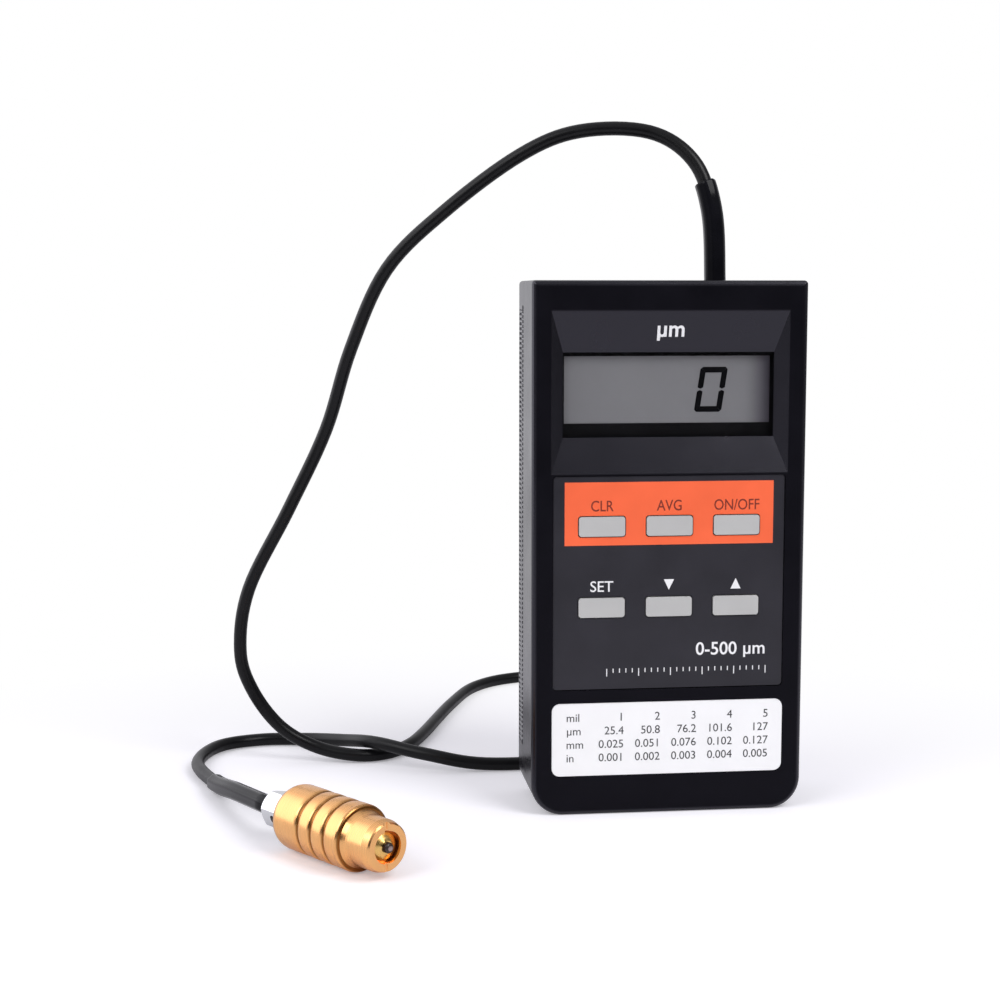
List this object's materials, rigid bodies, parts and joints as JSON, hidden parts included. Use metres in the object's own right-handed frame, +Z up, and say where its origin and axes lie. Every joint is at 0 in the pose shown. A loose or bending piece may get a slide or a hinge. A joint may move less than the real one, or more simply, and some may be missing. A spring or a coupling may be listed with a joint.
{
  "type": "coating thickness gauge",
  "caption": "Hand-held coating thickness gauge: upright black case with sunk display, keypad, label and battery door, and a looped cord to a sprung brass probe.",
  "frame": {"origin": "centre of the case's base, on the surface it stands on", "axes": "+X to the right seen from the front, +Y from the front face to the back, +Z up along the case"},
  "size_m": [0.1779, 0.2368, 0.1952],
  "materials": {
    "front_shell": "fine matt black",
    "rear_shell": "fine matt black",
    "battery_door": "fine matt black",
    "display_window": "clear acrylic",
    "lcd_panel": "grey reflective LCD",
    "lcd_holder": "moulded",
    "contact_strips": "layered rubber",
    "keypad_overlay": "printed film",
    "clear_key": "moulded light grey",
    "average_key": "moulded light grey",
    "power_key": "moulded light grey",
    "set_key": "moulded light grey",
    "down_key": "moulded light grey",
    "up_key": "moulded light grey",
    "key_switches": "moulded",
    "label_plate": "white printed film",
    "main_board": "green solder mask",
    "processor": "moulded epoxy",
    "support_chips": "moulded epoxy",
    "crystal": "pressed can",
    "capacitors": "shrink film",
    "buzzer": "moulded",
    "probe_socket": "natural nylon",
    "probe_plug": "natural nylon",
    "cord_clamp": "moulded nylon",
    "clamp_screws": "zinc plated",
    "board_screws": "zinc plated",
    "case_screws": "zinc plated",
    "battery_block": "lacquered steel jacket",
    "battery_terminals": "nickel plated",
    "battery_snap": "soft vinyl",
    "red_lead": "vinyl insulation",
    "black_lead": "vinyl insulation",
    "case_sleeve": "shrink tubing",
    "probe_cord": "vinyl jacket",
    "tail_sleeve": "shrink tubing",
    "probe_collar": "bright chrome",
    "collar_screw": "black oxide",
    "probe_grip": "turned and lightly polished",
    "probe_nose": "turned",
    "probe_plunger": "turned",
    "probe_tip": "sintered ferrite",
    "probe_spring": "wound wire"
  },
  "bodies": {
    "gauge": {"front_shell": "front_shell", "rear_shell": "rear_shell", "display_window": "display_window", "lcd_panel": "lcd_panel", "lcd_holder": "lcd_holder", "contact_strips": "contact_strips", "keypad_overlay": "keypad_overlay", "key_switches": "key_switches", "label_plate": "label_plate", "main_board": "main_board", "processor": "processor", "support_chips": "support_chips", "crystal": "crystal", "capacitors": "capacitors", "buzzer": "buzzer", "probe_socket": "probe_socket", "probe_plug": "probe_plug", "cord_clamp": "cord_clamp", "clamp_screws": "clamp_screws", "board_screws": "board_screws", "case_screws": "case_screws", "battery_block": "battery_block", "battery_terminals": "battery_terminals", "battery_snap": "battery_snap", "red_lead": "red_lead", "black_lead": "black_lead", "case_sleeve": "case_sleeve", "probe_cord": "probe_cord", "tail_sleeve": "tail_sleeve", "probe_collar": "probe_collar", "collar_screw": "collar_screw", "probe_grip": "probe_grip", "probe_nose": "probe_nose", "probe_spring": "probe_spring"},
    "clear_key": {"clear_key": "clear_key"},
    "average_key": {"average_key": "average_key"},
    "power_key": {"power_key": "power_key"},
    "set_key": {"set_key": "set_key"},
    "down_key": {"down_key": "down_key"},
    "up_key": {"up_key": "up_key"},
    "battery_door": {"battery_door": "battery_door"},
    "probe_plunger": {"probe_plunger": "probe_plunger", "probe_tip": "probe_tip"}
  },
  "joints": [
    {"name": "clear_key_press", "type": "slide", "parent": "gauge", "child": "clear_key", "axis": [0, 1, 0], "range_m": [0, 0.0004], "stiffness_N_per_m": 2000, "springref_m": -0.0002},
    {"name": "average_key_press", "type": "slide", "parent": "gauge", "child": "average_key", "axis": [0, 1, 0], "range_m": [0, 0.0004], "stiffness_N_per_m": 2000, "springref_m": -0.0002},
    {"name": "power_key_press", "type": "slide", "parent": "gauge", "child": "power_key", "axis": [0, 1, 0], "range_m": [0, 0.0004], "stiffness_N_per_m": 2000, "springref_m": -0.0002},
    {"name": "set_key_press", "type": "slide", "parent": "gauge", "child": "set_key", "axis": [0, 1, 0], "range_m": [0, 0.0004], "stiffness_N_per_m": 2000, "springref_m": -0.0002},
    {"name": "down_key_press", "type": "slide", "parent": "gauge", "child": "down_key", "axis": [0, 1, 0], "range_m": [0, 0.0004], "stiffness_N_per_m": 2000, "springref_m": -0.0002},
    {"name": "up_key_press", "type": "slide", "parent": "gauge", "child": "up_key", "axis": [0, 1, 0], "range_m": [0, 0.0004], "stiffness_N_per_m": 2000, "springref_m": -0.0002},
    {"name": "battery_door_slide", "type": "slide", "parent": "gauge", "child": "battery_door", "axis": [0, 0, -1], "range_m": [0, 0.038]},
    {"name": "probe_plunger_press", "type": "slide", "parent": "gauge", "child": "probe_plunger", "axis": [-0.5807, 0.8141, 0], "range_m": [0, 0.0015], "stiffness_N_per_m": 600, "springref_m": -0.002, "deforming": ["probe_spring"]}
  ]
}
